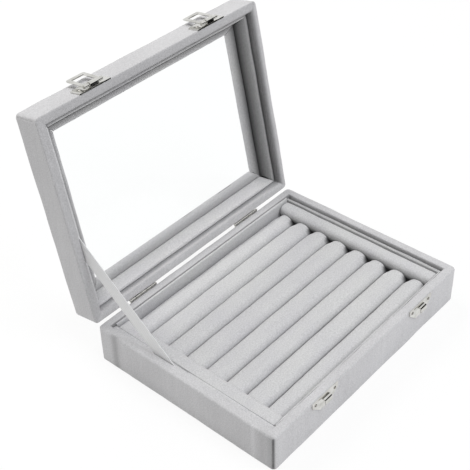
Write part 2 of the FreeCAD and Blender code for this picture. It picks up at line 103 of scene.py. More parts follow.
class Edge(Enum):
    """Hinge side and latch side of the box, as the sign of Y."""

    FRONT = -1
    BACK = 1

    @property
    def word(self) -> str:
        """Edge in lower case, as node names have it."""
        return self.name.lower()


class Graph:
    """Node tree of one material or world, with short calls to add and join nodes."""

    def __init__(self, tree: bpy.types.NodeTree) -> None:
        """Start from an empty tree.

        Args:
            tree: Node tree to fill.
        """
        self.tree = tree
        tree.nodes.clear()

    def add(self, kind: str, **values: object) -> bpy.types.Node:
        """Add a node.

        Args:
            kind: Node type without its ShaderNode prefix.
            values: Properties of the node, or values of its input sockets where no property has that name.

        Returns:
            The new node.
        """
        node = self.tree.nodes.new("ShaderNode" + kind)
        for name, value in values.items():
            if hasattr(node, name):
                setattr(node, name, value)
            else:
                node.inputs[name.replace("_", " ")].default_value = value
        return node

    def join(self, source: bpy.types.NodeSocket, target: bpy.types.NodeSocket) -> None:
        """Link an output to an input."""
        self.tree.links.new(source, target)

    def ramp(self, factor: bpy.types.NodeSocket, stops: Sequence[tuple[float, Colour]]) -> bpy.types.NodeSocket:
        """Turn a grey value into colours.

        Args:
            factor: Grey value socket.
            stops: Places from 0 to 1 with their colours.

        Returns:
            Colour socket.
        """
        node = self.add("ValToRGB")
        elements = node.color_ramp.elements
        while len(elements) < len(stops):
            elements.new(0.5)
        for element, (place, colour) in zip(elements, stops):
            element.position = place
            element.color = (*colour, 1.0)
        self.join(factor, node.inputs["Fac"])
        return node.outputs["Color"]

    def noise(self, point: bpy.types.NodeSocket, scale: float, detail: float = 3.0) -> bpy.types.NodeSocket:
        """Noise pattern.

        Args:
            point: Coordinates to read it at.
            scale: Waves per metre.
            detail: Octaves.

        Returns:
            Grey value socket.
        """
        node = self.add("TexNoise", Scale=scale, Detail=detail)
        self.join(point, node.inputs["Vector"])
        return node.outputs["Fac"]

    def stretched(self, point: bpy.types.NodeSocket, scale: Colour) -> bpy.types.NodeSocket:
        """Scale coordinates by axis, to draw a pattern out into streaks."""
        node = self.add("Mapping", Scale=scale)
        self.join(point, node.inputs["Vector"])
        return node.outputs["Vector"]

    def mixed(
        self, kind: str, factor: float, first: bpy.types.NodeSocket, second: bpy.types.NodeSocket
    ) -> bpy.types.NodeSocket:
        """Mix two colours.

        Args:
            kind: Blend type.
            factor: Share of the second colour.
            first: Lower colour.
            second: Upper colour.

        Returns:
            Colour socket.
        """
        node = self.add("MixRGB", blend_type=kind)
        node.inputs["Fac"].default_value = factor
        self.join(first, node.inputs["Color1"])
        self.join(second, node.inputs["Color2"])
        return node.outputs["Color"]

    def bumped(self, height: bpy.types.NodeSocket, strength: float, depth: float) -> bpy.types.NodeSocket:
        """Normal that follows a height pattern.

        Args:
            height: Grey value socket.
            strength: Share of the effect.
            depth: Real height of the pattern in metres.

        Returns:
            Normal socket.
        """
        node = self.add("Bump", Strength=strength, Distance=depth)
        self.join(height, node.inputs["Height"])
        return node.outputs["Normal"]

    def larger(self, first: bpy.types.NodeSocket, second: bpy.types.NodeSocket) -> bpy.types.NodeSocket:
        """Larger one of two values."""
        node = self.add("Math", operation="MAXIMUM")
        self.join(first, node.inputs[0])
        self.join(second, node.inputs[1])
        return node.outputs["Value"]

    def blended(
        self, share: bpy.types.NodeSocket, first: bpy.types.NodeSocket, second: bpy.types.NodeSocket
    ) -> bpy.types.NodeSocket:
        """Shader that goes from the first to the second with a share."""
        node = self.add("MixShader")
        self.join(share, node.inputs["Fac"])
        self.join(first, node.inputs[1])
        self.join(second, node.inputs[2])
        return node.outputs["Shader"]

    def close(self, shader: bpy.types.NodeSocket, kind: str = "OutputMaterial") -> None:
        """Lead a shader to the tree's output."""
        self.join(shader, self.add(kind).inputs["Surface"])


def new_material(name: str) -> tuple[bpy.types.Material, Graph]:
    """Material with an empty node tree.

    Args:
        name: Material name.

    Returns:
        The material and its graph.
    """
    material = bpy.data.materials.new(name)
    material.use_nodes = True
    return material, Graph(material.node_tree)


def grey(value: float) -> Colour:
    """Neutral colour of one brightness."""
    return (value, value, value)


@dataclass(frozen=True)
class Velvet:
    """Short-pile velvet: brushed patches, drawn-out streaks, pile grain, a soft sheen at the edges, and each piece's
    painted shade multiplied into its colour.
    """

    name: str
    light: Colour
    deep: Colour
    streak: Colour = (300.0, 300.0, 18.0)
    patch_scale: float = 26.0
    fleck_scale: float = 1150.0
    grain_scale: float = 2600.0
    grain_depth: float = 0.14 * MM
    sheen: float = 0.35
    sheen_roughness: float = 0.35
    sheen_tint: Colour = (0.96, 0.96, 1.0)

    def make(self) -> bpy.types.Material:
        """Build the material."""
        material, graph = new_material(self.name)
        point = graph.add("TexCoord").outputs["Object"]
        patches = graph.noise(point, self.patch_scale, 2.0)
        streaks = graph.noise(graph.stretched(point, self.streak), 1.0, 4.0)
        grain = graph.noise(point, self.grain_scale, 2.0)
        brushed = graph.mixed(
            "MIX",
            0.45,
            graph.ramp(patches, [(0.3, self.deep), (0.68, self.light)]),
            graph.ramp(streaks, [(0.25, self.deep), (0.75, self.light)]),
        )
        flecks = graph.noise(point, self.fleck_scale, 2.0)
        speckle = graph.ramp(flecks, [(0.25, grey(0.76)), (0.75, grey(1.02))])
        # painted shade of the piece, read from its mesh and multiplied into the base colour
        painted_shade = graph.add("Attribute", attribute_name=PAINTED_SHADE).outputs["Color"]
        shader = graph.add("BsdfPrincipled", Roughness=0.92)
        shader.inputs["Specular IOR Level"].default_value = 0.12
        shader.inputs["Sheen Weight"].default_value = self.sheen
        shader.inputs["Sheen Roughness"].default_value = self.sheen_roughness
        shader.inputs["Sheen Tint"].default_value = (*self.sheen_tint, 1.0)
        pile = graph.mixed("MULTIPLY", 1.0, brushed, speckle)
        graph.join(graph.mixed("MULTIPLY", 1.0, pile, painted_shade), shader.inputs["Base Color"])
        graph.join(graph.bumped(grain, 0.35, self.grain_depth), shader.inputs["Normal"])
        graph.close(shader.outputs["BSDF"])
        return material


@dataclass(frozen=True)
class RibbonWeave:
    """Ribbed ribbon: fine ribs across its length and a slight gloss on the threads."""

    name: str = "ribbed_ribbon"
    light: Colour = (0.83, 0.83, 0.83)
    deep: Colour = (0.70, 0.70, 0.71)
    rib_scale: float = 420.0

    def make(self) -> bpy.types.Material:
        """Build the material."""
        material, graph = new_material(self.name)
        point = graph.add("TexCoord").outputs["UV"]
        ribs = graph.add("TexWave", Scale=self.rib_scale, Distortion=0.6, Detail=1.0, bands_direction="Y")
        graph.join(point, ribs.inputs["Vector"])
        threads = graph.noise(graph.stretched(point, (9000.0, 900.0, 1.0)), 1.0, 2.0)
        base = graph.mixed(
            "MULTIPLY",
            0.5,
            graph.ramp(ribs.outputs["Fac"], [(0.0, self.deep), (0.6, self.light)]),
            graph.ramp(threads, [(0.2, grey(0.86)), (0.8, grey(1.0))]),
        )
        shader = graph.add("BsdfPrincipled", Roughness=0.7)
        shader.inputs["Specular IOR Level"].default_value = 0.25
        shader.inputs["Sheen Weight"].default_value = 0.2
        graph.join(base, shader.inputs["Base Color"])
        graph.join(graph.bumped(ribs.outputs["Fac"], 0.4, 0.1 * MM), shader.inputs["Normal"])
        graph.close(shader.outputs["BSDF"])
        return material


@dataclass(frozen=True)
class Fibreboard:
    """Raw pressed fibreboard: fine speckled fibres in a warm brown."""

    name: str = "raw_fibreboard"
    light: Colour = (0.50, 0.39, 0.27)
    deep: Colour = (0.36, 0.26, 0.17)

    def make(self) -> bpy.types.Material:
        """Build the material."""
        material, graph = new_material(self.name)
        point = graph.add("TexCoord").outputs["Object"]
        fibres = graph.noise(graph.stretched(point, (900.0, 900.0, 3200.0)), 1.0, 4.0)
        shader = graph.add("BsdfPrincipled", Roughness=0.85)
        graph.join(graph.ramp(fibres, [(0.3, self.deep), (0.7, self.light)]), shader.inputs["Base Color"])
        graph.join(graph.bumped(fibres, 0.3, 0.08 * MM), shader.inputs["Normal"])
        graph.close(shader.outputs["BSDF"])
        return material


@dataclass(frozen=True)
class NickelPlate:
    """Bright nickel plate on stamped sheet: faint clouding, fine rolling marks and a warm cast."""

    name: str = "nickel_plate"
    light: Colour = (0.66, 0.655, 0.63)
    deep: Colour = (0.50, 0.495, 0.465)

    def make(self) -> bpy.types.Material:
        """Build the material."""
        material, graph = new_material(self.name)
        point = graph.add("TexCoord").outputs["Object"]
        clouds = graph.noise(point, 200.0, 2.0)
        marks = graph.noise(graph.stretched(point, (400.0, 5200.0, 5200.0)), 1.0, 2.0)
        shader = graph.add("BsdfPrincipled", Metallic=1.0)
        graph.join(graph.ramp(clouds, [(0.3, self.deep), (0.6, self.light)]), shader.inputs["Base Color"])
        rough = graph.add("MapRange", To_Min=0.04, To_Max=0.12)
        graph.join(clouds, rough.inputs["Value"])
        graph.join(rough.outputs["Result"], shader.inputs["Roughness"])
        graph.join(graph.bumped(marks, 0.12, 0.03 * MM), shader.inputs["Normal"])
        graph.close(shader.outputs["BSDF"])
        return material


@dataclass(frozen=True)
class ClearPane:
    """Clear sheet that light passes straight through."""

    name: str = "clear_sheet"
    tint: Colour = (0.985, 0.995, 0.995)

    def make(self) -> bpy.types.Material:
        """Build the material."""
        material, graph = new_material(self.name)
        point = graph.add("TexCoord").outputs["Object"]
        smears = graph.noise(graph.stretched(point, (30.0, 12.0, 12.0)), 1.0, 3.0)
        rough = graph.add("MapRange", To_Min=0.0, To_Max=0.025)
        graph.join(smears, rough.inputs["Value"])
        sheet = graph.add("BsdfPrincipled", IOR=1.08)
        sheet.inputs["Base Color"].default_value = (*self.tint, 1.0)
        sheet.inputs["Transmission Weight"].default_value = 1.0
        sheet.inputs["Specular IOR Level"].default_value = 0.08
        graph.join(rough.outputs["Result"], sheet.inputs["Roughness"])
        passing = graph.add("BsdfTransparent")
        path = graph.add("LightPath")
        unseen = graph.larger(path.outputs["Is Shadow Ray"], path.outputs["Is Diffuse Ray"])
        graph.close(graph.blended(unseen, sheet.outputs["BSDF"], passing.outputs["BSDF"]))
        return material


@dataclass(frozen=True)
class Finishes:
    """Every finish of the box, made once."""

    wrap: bpy.types.Material
    padding: bpy.types.Material
    felt: bpy.types.Material
    ribbon: bpy.types.Material
    board: bpy.types.Material
    nickel: bpy.types.Material
    pins: bpy.types.Material
    pane: bpy.types.Material

    @classmethod
    def make(cls) -> "Finishes":
        """Build the materials."""
        return cls(
            wrap=Velvet("wrap_velvet", (0.665, 0.66, 0.67), (0.575, 0.57, 0.58)).make(),
            padding=Velvet("padding_velvet", (0.67, 0.67, 0.665), (0.60, 0.595, 0.615), (40.0, 160.0, 160.0)).make(),
            felt=Velvet("underside_felt", (0.34, 0.34, 0.35), (0.27, 0.27, 0.28), sheen=0.1).make(),
            ribbon=RibbonWeave().make(),
            board=Fibreboard().make(),
            nickel=NickelPlate().make(),
            pins=NickelPlate("dulled_pins", (0.32, 0.31, 0.29), (0.19, 0.18, 0.16)).make(),
            pane=ClearPane().make(),
        )


def eased(values: np.ndarray, low: float, high: float) -> np.ndarray:
    """Smooth step from 0 at one value to 1 at another.

    Args:
        values: Values to step.
        low: Value where the step begins.
        high: Value where it ends.

    Returns:
        One share for each value.
    """
    share = np.clip((values - low) / (high - low), 0.0, 1.0)
    return share * share * (3.0 - 2.0 * share)


@dataclass(frozen=True)
class Unevenness:
    """Gentle seeded waves, as hand-glued cloth and soft filling have them."""

    seed: int
    wave: float
    height: float
    count: int = 10

    def at(self, points: np.ndarray) -> np.ndarray:
        """Height of the waves.

        Args:
            points: Places, one row each.

        Returns:
            One height for each place.
        """
        draw = np.random.default_rng(self.seed)
        ways = draw.normal(size=(self.count, 3))
        ways /= np.linalg.norm(ways, axis=1)[:, None]
        lengths = self.wave * draw.uniform(0.4, 1.0, self.count)
        phases = draw.uniform(0.0, 2.0 * math.pi, self.count)
        waves = np.sin(points @ (ways * (2.0 * math.pi / lengths)[:, None]).T + phases)
        return self.height * waves.sum(axis=1) / math.sqrt(self.count)


def node_points(node: str) -> np.ndarray:
    """Mesh points of a CAD node, one row each."""
    return np.array([vertex.co for vertex in frame["nodes"][node].data.vertices])


@dataclass(frozen=True)
class LidTurn:
    """Turn of the lid about the hinge line, between closed and rest."""

    pivot: Vector
    axis: Vector
    closing: float

    @classmethod
    def from_joint(cls, name: str) -> "LidTurn":
        """Read the hinge from the frame.

        Args:
            name: Joint name.

        Returns:
            The turn that closes the lid.
        """
        joint = next(joint for joint in frame["joints"] if joint["name"] == name)
        return cls(Vector(joint["pos_m"]), Vector(joint["axis"]), math.radians(max(joint["range_deg"])))

    def matrix(self, angle: float) -> Matrix:
        """Turn about the hinge line by an angle."""
        about = Matrix.Rotation(angle, 4, self.axis)
        return Matrix.Translation(self.pivot) @ about @ Matrix.Translation(-self.pivot)

    def closed(self, points: np.ndarray) -> np.ndarray:
        """Places of the lid's points at rest, when the lid is closed."""
        matrix = np.array(self.matrix(self.closing))
        return points @ matrix[:3, :3].T + matrix[:3, 3]

    def closed_box(self, *nodes: str) -> tuple[np.ndarray, np.ndarray]:
        """Corners of lid nodes as they lie when closed.

        Args:
            nodes: Names of CAD nodes.

        Returns:
            Lowest and highest corner.
        """
        closed = self.closed(np.concatenate([node_points(node) for node in nodes]))
        return closed.min(axis=0), closed.max(axis=0)


LID_TURN = LidTurn.from_joint("lid_hinge")


def rounded_outline(
    corners: Sequence[tuple[float, float]],
    radii: Sequence[float],
    arc_steps: int = 6,
    longest: float = 2.5 * MM,
) -> np.ndarray:
    """Closed outline with rounded corners, stepped finely enough to bend.

    Args:
        corners: Corner points in order.
        radii: Rounding of each corner, 0 for a sharp one.
        arc_steps: Steps in each rounded corner.
        longest: Longest step along a straight run.

    Returns:
        Points of the outline, one row each.
    """
    points: list[np.ndarray] = []
    places = [np.array(corner, float) for corner in corners]
    for index, here in enumerate(places):
        if radii[index] <= 0.0:
            points.append(here)
            continue
        into = places[index - 1] - here
        away = places[(index + 1) % len(places)] - here
        into /= np.linalg.norm(into)
        away /= np.linalg.norm(away)
        half = 0.5 * math.acos(float(np.clip(into @ away, -1.0, 1.0)))
        middle = (into + away) / np.linalg.norm(into + away)
        centre = here + middle * radii[index] / math.sin(half)
        start = here + into * radii[index] / math.tan(half) - centre
        end = here + away * radii[index] / math.tan(half) - centre
        first = math.atan2(start[1], start[0])
        turn = math.atan2(end[1], end[0]) - first
        turn = (turn + math.pi) % (2.0 * math.pi) - math.pi
        for step in range(arc_steps + 1):
            angle = first + turn * step / arc_steps
            points.append(centre + radii[index] * np.array([math.cos(angle), math.sin(angle)]))
    stepped: list[np.ndarray] = []
    for index, here in enumerate(points):
        there = points[(index + 1) % len(points)]
        parts = max(1, math.ceil(float(np.linalg.norm(there - here)) / longest))
        stepped += [here + (there - here) * part / parts for part in range(parts)]
    return np.array(stepped)


def grid_faces(rows: int, columns: int, ring_rows: bool, ring_columns: bool) -> list[Face]:
    """Four-sided faces over a grid of points, row by row.

    Args:
        rows: Number of rows.
        columns: Points in each row.
        ring_rows: Whether the last row joins the first.
        ring_columns: Whether each row closes on itself.

    Returns:
        Faces as point numbers.
    """
    faces: list[Face] = []
    for row in range(rows if ring_rows else rows - 1):
        upper = (row + 1) % rows
        for column in range(columns if ring_columns else columns - 1):
            beside = (column + 1) % columns
            faces.append(
                (row * columns + column, row * columns + beside, upper * columns + beside, upper * columns + column)
            )
    return faces


def tube_faces(rows: int, columns: int) -> list[Face]:
    """Faces of a tube of points, row by row, closed with one face at each end.

    Args:
        rows: Number of rows.
        columns: Points round each row.

    Returns:
        Faces as point numbers.
    """
    ends = [tuple(reversed(range(columns))), tuple(range((rows - 1) * columns, rows * columns))]
    return grid_faces(rows, columns, False, True) + ends


def box_outline(left: float, right: float, low: float, high: float) -> list[tuple[float, float]]:
    """Corners of an upright rectangle, from the lower left one round."""
    return [(left, low), (right, low), (right, high), (left, high)]


@dataclass
class Piece:
    """One mesh of the box on its way into the scene."""

    name: str
    points: np.ndarray
    faces: list[Face]
    body: Body
    finish: bpy.types.Material
    slot: Slot
    stands_for: Sequence[str] = ()
    waves: Sequence[Unevenness] = ()
    fill: float | None = None
    on_lid: bool = False
    # painted shade: factor on the velvet's colour at each point, 1 where nothing is painted
    painted_shade: np.ndarray | None = None
    heights: tuple[float, float] = (-math.inf, math.inf)

    def place(self) -> bpy.types.Object:
        """Make the mesh, make it uneven, turn it with the lid and hang it on its body.

        Returns:
            The finished object.
        """
        mesh = bpy.data.meshes.new(self.name)
        mesh.from_pydata(self.points.tolist(), [], self.faces)
        mesh.update()
        if self.waves:
            self._ripple(mesh)
        if self.on_lid:
            mesh.transform(LID_TURN.matrix(-LID_TURN.closing))
        mesh.polygons.foreach_set("use_smooth", [True] * len(mesh.polygons))
        # store the painted shade on the mesh, for the velvet to darken or lighten its colour by
        painted_shade = np.ones(len(self.points)) if self.painted_shade is None else self.painted_shade
        mesh.attributes.new(PAINTED_SHADE, "FLOAT", "POINT").data.foreach_set("value", painted_shade.astype(np.float32))
        mesh.materials.append(self.finish)
        thing = bpy.data.objects.new(self.name, mesh)
        bpy.context.scene.collection.objects.link(thing)
        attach(thing, self.body.value)
        if self.stands_for:
            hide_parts(*self.stands_for)
        LOG.info("%s: %d faces on %s", self.name, len(mesh.polygons), self.body.value)
        return thing

    def _ripple(self, mesh: bpy.types.Mesh) -> None:
        """Move the points along their normals by the waves, and those of padding only inwards."""
        normals = np.empty(len(mesh.vertices) * 3, np.float32)
        mesh.vertices.foreach_get("normal", normals)
        heights = sum(wave.at(self.points) for wave in self.waves)
        if self.fill is not None:
            heights -= heights.max()
        moved = self.points + normals.reshape(-1, 3) * heights[:, None]
        moved[:, 2] = np.clip(moved[:, 2], *self.heights)
        mesh.vertices.foreach_set("co", moved.astype(np.float32).ravel())
        mesh.update()


@dataclass(frozen=True)
class FrameSweep:
    """Rectangle with rounded corners that a wall's section is swept round."""

    half_x: float
    half_y: float
    corner: float
    least_corner: float = 0.6 * MM
    side_step: float = 3.0 * MM
    corner_steps: int = 8

    def ring(self, inset: float) -> np.ndarray:
        """Points round the rectangle, a way in from its outer face.

        Args:
            inset: Distance inwards.

        Returns:
            Points in plan, one row each, the same number for every inset.
        """
        radius = max(self.corner - inset, self.least_corner)
        reach_x = self.half_x - inset - radius
        reach_y = self.half_y - inset - radius
        middles = [(reach_x, reach_y), (-reach_x, reach_y), (-reach_x, -reach_y), (reach_x, -reach_y)]
        runs = [math.ceil(2.0 * half / self.side_step) for half in (self.half_x, self.half_y)] * 2
        points: list[np.ndarray] = []
        for quarter, middle in enumerate(middles):
            for step in range(self.corner_steps + 1):
                angle = 0.5 * math.pi * (quarter + step / self.corner_steps)
                points.append(np.array(middle) + radius * np.array([math.cos(angle), math.sin(angle)]))
            way = 0.5 * math.pi * (quarter + 1)
            start = points[-1]
            end = np.array(middles[(quarter + 1) % 4]) + radius * np.array([math.cos(way), math.sin(way)])
            points += [start + (end - start) * part / runs[quarter] for part in range(1, runs[quarter])]
        return np.array(points)

    def swept(self, section: np.ndarray) -> tuple[np.ndarray, list[Face]]:
        """Sweep a closed section of insets and heights.

        Args:
            section: Inset and height of each point of the section.

        Returns:
            Points and faces of the closed ring.
        """
        rows = []
        for inset, height in section:
            plan = self.ring(inset)
            rows.append(np.column_stack([plan, np.full(len(plan), height)]))
        return np.concatenate(rows), grid_faces(len(rows), len(rows[0]), True, True)

    def plate(self, section: np.ndarray) -> tuple[np.ndarray, list[Face]]:
        """Sweep the edge of a flat plate and close it above and below.

        Args:
            section: Inset and height of each point of the edge, from the underside to the top.

        Returns:
            Points and faces of the plate.
        """
        points = self.swept(section)[0]
        return points, tube_faces(len(section), len(points) // len(section))


@dataclass(frozen=True)
class CornerSeam:
    """Upright seam where the wrap laps round a corner: a narrow pressed line."""

    x: float
    y: float
    low: float
    high: float
    depth: float = 0.55 * MM
    width: float = 0.45 * MM

    @classmethod
    def all_round(cls, half_x: float, half_y: float, low: float, high: float) -> list["CornerSeam"]:
        """One seam at each corner of a box, the front left one first.

        Args:
            half_x: Distance of the seams from the middle along X.
            half_y: Distance of the seams from the middle along Y.
            low: Lower end.
            high: Upper end.

        Returns:
            The four seams.
        """
        return [cls(side.value * half_x, edge.value * half_y, low, high) for side in Side for edge in Edge]

    def share(self, points: np.ndarray, width: float) -> np.ndarray:
        """How near each place is to the seam's line, 1 on it and 0 away from it."""
        away = np.hypot(points[:, 0] - self.x, points[:, 1] - self.y)
        along = np.clip(np.minimum(points[:, 2] - self.low, self.high - points[:, 2]) / (1.5 * MM), 0.0, 1.0)
        return along * np.exp(-((away / width) ** 2))

    def at(self, points: np.ndarray) -> np.ndarray:
        """Depth of the seam at each place, as a negative height."""
        return -self.depth * self.share(points, self.width)


@dataclass
class BaseShell:
    """Velvet wrap over the base's walls and the felt sheet under it."""

    finishes: Finishes
    corner: float = 3.0 * MM
    edge: float = 1.4 * MM
    cloth: float = 0.65 * MM
    turn_under: float = 2.0 * MM
    foot: float = 0.15 * MM
    inner_edge: float = 0.9 * MM
    swell: float = 0.05 * MM
    lap: float = 9.0 * MM
    felt_border: float = 2.0 * MM
    # painted fold bands on the left wall: place along Y and width in mm, then painted shade (below 0) or painted
    # highlight (above 0) for the shading of faint folds in the cloth
    painted_fold_bands: Sequence[tuple[float, float, float]] = (
        (59.5, 3.2, -0.3),
        (-58.5, 1.6, 0.12),
        (-66.5, 4.0, -0.14),
        (-72.0, 2.0, -0.2),
    )

    def build(self) -> None:
        """Make the wrap and the felt."""
        low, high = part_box("base_velvet_wrap")
        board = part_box("base_front_board")
        wall = 2.0 * (board[0].y - low.y) + (board[1].y - board[0].y)
        lap = high.z - self.lap
        inner = wall - self.cloth
        roof = high.z - self.cloth
        under = low.z - 0.02 * MM
        section = rounded_outline(
            [
                (0.0, self.foot),
                (0.0, high.z),
                (wall, high.z),
                (wall, lap),
                (inner, lap),
                (inner, roof),
                (self.cloth, roof),
                (self.cloth, under),
                (self.turn_under, under),
                (self.turn_under, self.foot),
            ],
            [1.2 * MM, self.edge, self.inner_edge, 0.2 * MM, 0.0, 0.0, 0.0, 0.0, 0.0, 0.2 * MM],
        )
        points, faces = FrameSweep(high.x, high.y, self.corner, side_step=1.5 * MM).swept(section)
        lean = self.corner * (1.0 - math.sqrt(0.5))
        seams = CornerSeam.all_round(high.x - 0.6 * lean, high.y - 1.4 * lean, self.foot, high.z)
        waves = [Unevenness(11, 60.0 * MM, 0.10 * MM), Unevenness(12, 14.0 * MM, 0.035 * MM)]
        Piece(
            "base_wrap",
            points,
            faces,
            Body.BASE,
            self.finishes.wrap,
            Slot.VELVET,
            ["base_velvet_wrap"],
            waves + seams,
            painted_shade=self._painted_shade(points, high, wall, seams[0]),
            heights=(0.0, high.z + self.swell),
        ).place()
        self._felt()

    def _painted_shade(self, points: np.ndarray, high: Vector, wall: float, seam: CornerSeam) -> np.ndarray:
        """Painted shade of the wrap: darker on the rim beside the linings where shade falls in the gap, painted shade
        and painted highlight in bands on the left wall for the shading of faint folds, and painted shade along one
        seam's crease.

        Args:
            points: Mesh points.
            high: Highest corner of the wrap.
            wall: Thickness of a covered wall.
            seam: Seam of the front left corner.

        Returns:
            Painted shade at each point, as a factor on the colour.
        """
        x, y = points[:, 0], points[:, 1]
        reach = wall + np.maximum(np.abs(x) - high.x, np.abs(y) - high.y)
        # painted shade on the rim beside the back and right linings, where shade falls in the gap
        shown = 0.5 * (y - high.y > -1.5 * wall) + 0.25 * (x - high.x > -1.5 * wall)
        painted_shade = 1.0 - np.minimum(shown, 0.5) * eased(reach, 1.0 * MM, 0.2 * MM)
        # painted fold bands on the left wall: painted shade where a band's change is below 0, painted highlight where
        # it is above 0
        on_left = eased(x, -high.x + 2.0 * MM, -high.x + 0.8 * MM)
        for place, width, change in self.painted_fold_bands:
            painted_shade += change * on_left * np.exp(-(((y - place * MM) / (width * MM)) ** 2))
        # painted shade along the crease of the front left seam
        return painted_shade * (1.0 - 0.8 * seam.share(points, 0.9 * MM))

    def _felt(self) -> None:
        """Felt sheet with softened edges under the bottom board."""
        low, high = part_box("base_bottom_felt")
        thick = high.z - low.z
        section = rounded_outline(
            [(self.felt_border, 0.0), (0.0, 0.0), (0.0, thick), (self.felt_border, thick)],
            [0.0, 0.3 * MM, 0.3 * MM, 0.0],
            3,
            8.0 * MM,
        )
        sweep = FrameSweep(high.x, high.y, 2.0 * MM, side_step=8.0 * MM, corner_steps=4)
        points, faces = sweep.plate(section)
        Piece(
            "underside_felt", points, faces, Body.BASE, self.finishes.felt, Slot.FELT, ["base_bottom_felt"]
        ).place()


@dataclass
class LidShell:
    """Velvet wrap over the lid's walls, rim and window frame."""

    finishes: Finishes
    corner: float = 3.0 * MM
    edge: float = 1.4 * MM
    cloth: float = 0.65 * MM
    lap: float = 9.0 * MM
    swell: float = 0.05 * MM
    # painted shade of the rim on each side, lighter or darker by how the light falls on that side
    rim_painted_shade: dict[str, float] = field(
        default_factory=lambda: {"right": 0.94, "left": 0.8, "back": 0.98, "front": 0.77}
    )

    def build(self) -> None:
        """Make the wrap."""
        low, high = LID_TURN.closed_box("lid_velvet_wrap")
        board = LID_TURN.closed_box("lid_front_board")
        rail = LID_TURN.closed_box("window_rail_front")
        wall = 2.0 * (board[0][1] - low[1]) + (board[1][1] - board[0][1])
        velvet = board[0][1] - low[1]
        window = rail[1][1] - low[1] + velvet
        inner = wall - self.cloth
        section = rounded_outline(
            [
                (wall, low[2] + self.lap),
                (wall, low[2]),
                (0.0, low[2]),
                (0.0, high[2]),
                (window, high[2]),
                (window, rail[0][2] + 0.02 * MM),
                (window - self.cloth, rail[0][2] + 0.02 * MM),
                (window - self.cloth, high[2] - self.cloth),
                (self.cloth, high[2] - self.cloth),
                (self.cloth, low[2] + self.cloth),
                (inner, low[2] + self.cloth),
                (inner, low[2] + self.lap),
            ],
            [0.2 * MM, self.edge, self.edge, self.edge, 1.4 * MM] + [0.0] * 7,
        )
        points, faces = FrameSweep(high[0], high[1], self.corner, 0.9 * MM).swept(section)
        lean = self.corner * (1.0 - math.sqrt(0.5))
        seams = CornerSeam.all_round(high[0] - 0.3 * lean, high[1] - 2.0 * lean, low[2], high[2])
        waves = [Unevenness(21, 60.0 * MM, 0.10 * MM), Unevenness(22, 14.0 * MM, 0.035 * MM)]
        Piece(
            "lid_wrap",
            points,
            faces,
            Body.LID,
            self.finishes.wrap,
            Slot.VELVET,
            ["lid_velvet_wrap"],
            waves + seams,
            on_lid=True,
            painted_shade=self._painted_shade(points, low, high, wall),
            heights=(low[2] - self.swell, math.inf),
        ).place()

    def _painted_shade(self, points: np.ndarray, low: np.ndarray, high: np.ndarray, wall: float) -> np.ndarray:
        """Painted shade of the wrap: a different shade on each side of the rim for how the light falls there, and
        darker beside the linings where shade falls in the joint.

        Args:
            points: Mesh points of the closed lid.
            low: Lowest corner of the wrap.
            high: Highest corner of the wrap.
            wall: Thickness of a covered wall.

        Returns:
            Painted shade at each point, as a factor on the colour.
        """
        beyond_x, beyond_y = np.abs(points[:, 0]) - high[0], np.abs(points[:, 1]) - high[1]
        across = eased(beyond_x - beyond_y, -1.0 * MM, 1.0 * MM)
        sides = np.where(points[:, 0] > 0.0, self.rim_painted_shade["right"], self.rim_painted_shade["left"])
        ends = np.where(points[:, 1] > 0.0, self.rim_painted_shade["back"], self.rim_painted_shade["front"])
        rim = ends + (sides - ends) * across
        reach = wall + np.maximum(beyond_x, beyond_y)
        right = across * (points[:, 0] > 0.0)
        behind = (1.0 - across) * (points[:, 1] > 0.0)
        left = across - right
        # painted shade in the joints beside the linings, widest and darkest on the right
        joint = (0.35 - 0.25 * behind - 0.35 * left) * eased(reach, 1.6 * MM, 0.2 * MM) * (1.0 - right)
        joint += 0.58 * eased(reach, 4.6 * MM, 0.2 * MM) * right
        # painted shade on the rim and on the inner lap
        on_rim = eased(points[:, 2], low[2] + 1.5 * MM, low[2] + 0.4 * MM)
        inside = eased(reach, 1.2 * MM, 0.4 * MM) * (points[:, 2] < low[2] + 1.2 * self.lap)
        return 1.0 - (1.0 - rim * (1.0 - joint)) * np.maximum(on_rim, inside)


